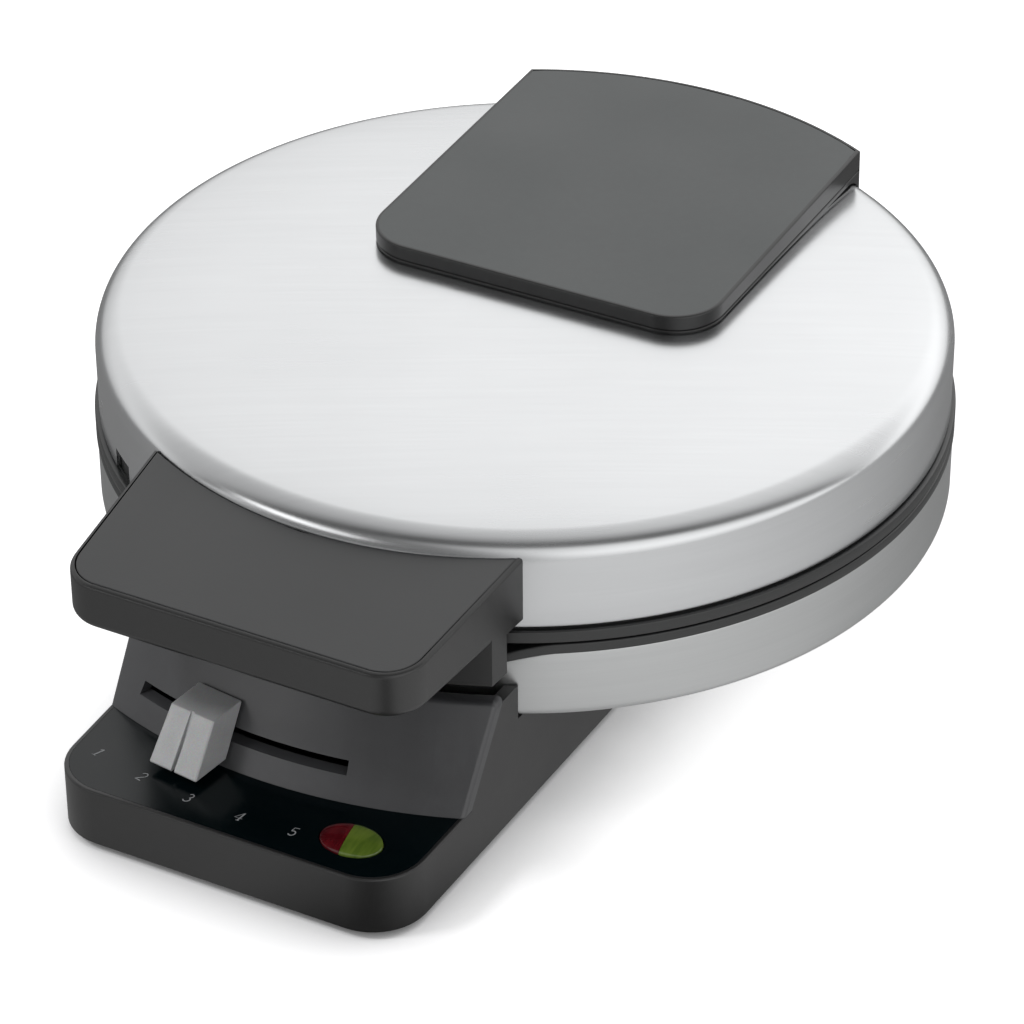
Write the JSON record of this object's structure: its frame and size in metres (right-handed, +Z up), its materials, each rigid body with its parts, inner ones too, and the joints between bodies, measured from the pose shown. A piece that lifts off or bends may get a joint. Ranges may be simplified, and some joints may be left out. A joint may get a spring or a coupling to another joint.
{
  "type": "round waffle maker",
  "caption": "Round countertop waffle maker with a hinged steel lid, studded cooking plates, front handle and a sliding browning control.",
  "frame": {"origin": "on the table, under the middle of the object's box", "axes": "+Y from the handle at the front to the hinge at the back, +Z up, +X to the right of someone who faces the handle"},
  "size_m": [0.1916, 0.2418, 0.077],
  "materials": {
    "brushed_lid_steel": "fine brushed, satin",
    "brushed_shell_steel": "fine brushed, satin",
    "black_plastic": "fine grained, satin",
    "black_caps": "fine grained, satin",
    "rim_plastic": "satin",
    "gloss_black": "gloss",
    "cover_plastic": "grained",
    "nonstick": "cast, with a dark non-stick coat",
    "heater_steel": "dull, heat tinted",
    "reflector_sheet": "plain sheet",
    "screw_steel": "zinc plated",
    "pin_steel": "turned",
    "knob_silver": "satin silver paint",
    "red_lens": "clear red, gloss",
    "green_lens": "clear green, gloss",
    "lamp_glass": "clear",
    "foot_rubber": "matte",
    "bush_rubber": "matte",
    "thermostat_body": "plated can",
    "fuse_body": "plain",
    "arm_plastic": "satin"
  },
  "bodies": {
    "base": {"base_housing": "black_plastic", "hinge_bracket": "black_plastic", "bracket_screws": "screw_steel", "bottom_cover": "cover_plastic", "bottom_screws": "screw_steel", "control_panel": "black_plastic", "green_lens": "green_lens", "red_lens": "red_lens", "hinge_pin": "pin_steel", "indicator_lamps": "lamp_glass", "inlet_bush": "bush_rubber", "lamp_holder": "cover_plastic", "legend_plate": "gloss_black", "lower_heater": "heater_steel", "lower_plate": "nonstick", "lower_plate_frame": "nonstick", "lower_plate_screws": "screw_steel", "lower_reflector": "reflector_sheet", "lower_shell": "brushed_shell_steel", "lower_trim_ring": "rim_plastic", "rubber_feet": "foot_rubber", "shell_screws": "screw_steel", "terminal_block": "cover_plastic", "thermal_fuse": "fuse_body", "thermostat": "thermostat_body"},
    "lid": {"cover_screws": "screw_steel", "handle_body": "black_plastic", "handle_cap": "black_caps", "handle_screws": "screw_steel", "hinge_arm": "arm_plastic", "hinge_arm_screws": "screw_steel", "hinge_cover": "black_plastic", "hinge_cover_cap": "black_caps", "lid_shell": "brushed_lid_steel", "lid_spacers": "pin_steel", "upper_heater": "heater_steel", "upper_plate": "nonstick", "upper_plate_frame": "nonstick", "upper_plate_screws": "screw_steel", "upper_reflector": "reflector_sheet", "upper_trim_ring": "rim_plastic"},
    "slider": {"slider_arm": "pin_steel", "slider_knob": "knob_silver", "thermostat_shaft": "pin_steel", "shaft_clip": "screw_steel"}
  },
  "joints": [
    {"name": "lid_hinge", "type": "hinge", "parent": "base", "child": "lid", "pos_m": [0, 0.1161, 0.04535], "axis": [-1, 0, 0], "range_deg": [0, 100]},
    {"name": "knob_swing", "type": "hinge", "parent": "base", "child": "slider", "pos_m": [0, 0.0151, 0.02175], "axis": [0, 0, 1], "range_deg": [-8.3, 14.1]}
  ]
}
